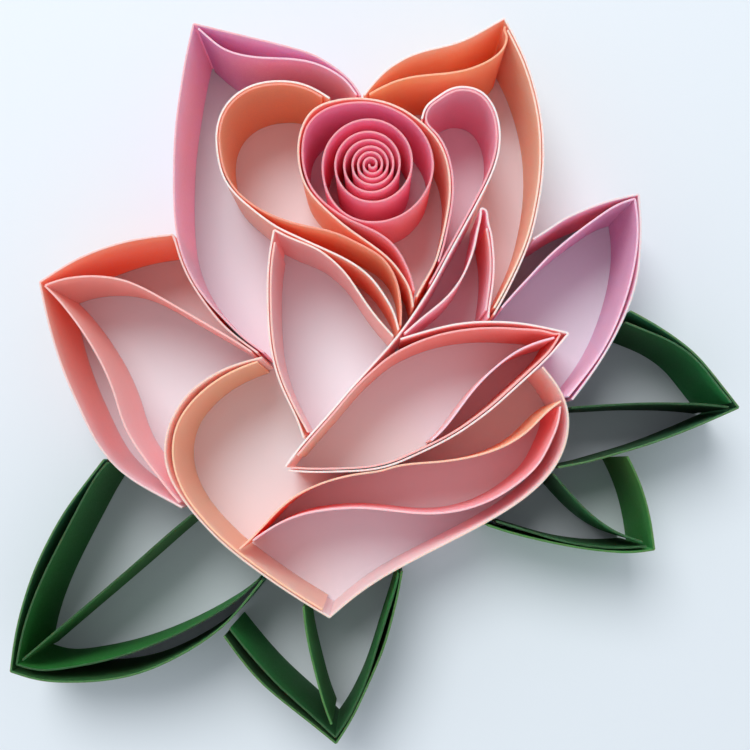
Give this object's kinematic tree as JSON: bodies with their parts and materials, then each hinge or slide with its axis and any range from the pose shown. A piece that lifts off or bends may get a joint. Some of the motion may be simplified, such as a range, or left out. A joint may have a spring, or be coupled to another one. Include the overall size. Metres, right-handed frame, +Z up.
{
  "type": "paper quilling flower",
  "caption": "Flat rose with a coiled bud, folded petals and leaves, made of coloured paper strips standing on edge.",
  "frame": {"origin": "centre of the flower's outline, on the surface that the strips stand on", "axes": "+Z up, across the width of the strips; +X to the flower's right seen from above; +Y towards the top of the bloom"},
  "size_m": [0.073, 0.0726, 0.01],
  "materials": {
    "crimson_paper": "matt coloured paper with pale cut edges",
    "red_orange_paper": "matt coloured paper with pale cut edges",
    "orange_paper": "matt coloured paper with pale cut edges",
    "peach_paper": "matt coloured paper with pale cut edges",
    "rose_paper": "matt coloured paper with pale cut edges",
    "pink_paper": "matt coloured paper with pale cut edges",
    "mauve_paper": "matt coloured paper with pale cut edges",
    "leaf_green_paper": "matt coloured paper with pale cut edges"
  },
  "bodies": {
    "root": {"coil_strip": "crimson_paper", "left_lobe_inner": "red_orange_paper", "back_right_petal_lip": "red_orange_paper", "left_lobe_outer": "orange_paper", "back_right_petal_outer": "orange_paper", "left_petal_outer": "orange_paper", "blade_loop": "orange_paper", "heart_petal_orange_sweep": "orange_paper", "bud_wrap": "peach_paper", "back_right_petal_lining": "peach_paper", "centre_petal_outer": "peach_paper", "heart_petal_lining": "peach_paper", "right_lobe_inner": "rose_paper", "side_bud_outer": "rose_paper", "blade_rib": "rose_paper", "heart_petal_pink_sweep": "rose_paper", "side_bud_lining": "pink_paper", "back_left_petal_lip": "pink_paper", "centre_petal_lining": "pink_paper", "left_petal_inner": "pink_paper", "right_petal_inner": "pink_paper", "blade_cover": "pink_paper", "heart_petal_outer": "pink_paper", "right_lobe_outer": "mauve_paper", "back_left_petal_outer": "mauve_paper", "right_petal_outer": "mauve_paper", "lower_left_leaf_outer": "leaf_green_paper", "lower_left_leaf_inner": "leaf_green_paper", "lower_left_leaf_midrib": "leaf_green_paper", "bottom_leaf_outer": "leaf_green_paper", "bottom_leaf_inner": "leaf_green_paper", "bottom_leaf_midrib": "leaf_green_paper", "lower_right_leaf_outer": "leaf_green_paper", "lower_right_leaf_inner": "leaf_green_paper", "lower_right_leaf_midrib": "leaf_green_paper", "right_leaf_outer": "leaf_green_paper", "right_leaf_inner": "leaf_green_paper", "right_leaf_midrib": "leaf_green_paper"}
  },
  "joints": []
}
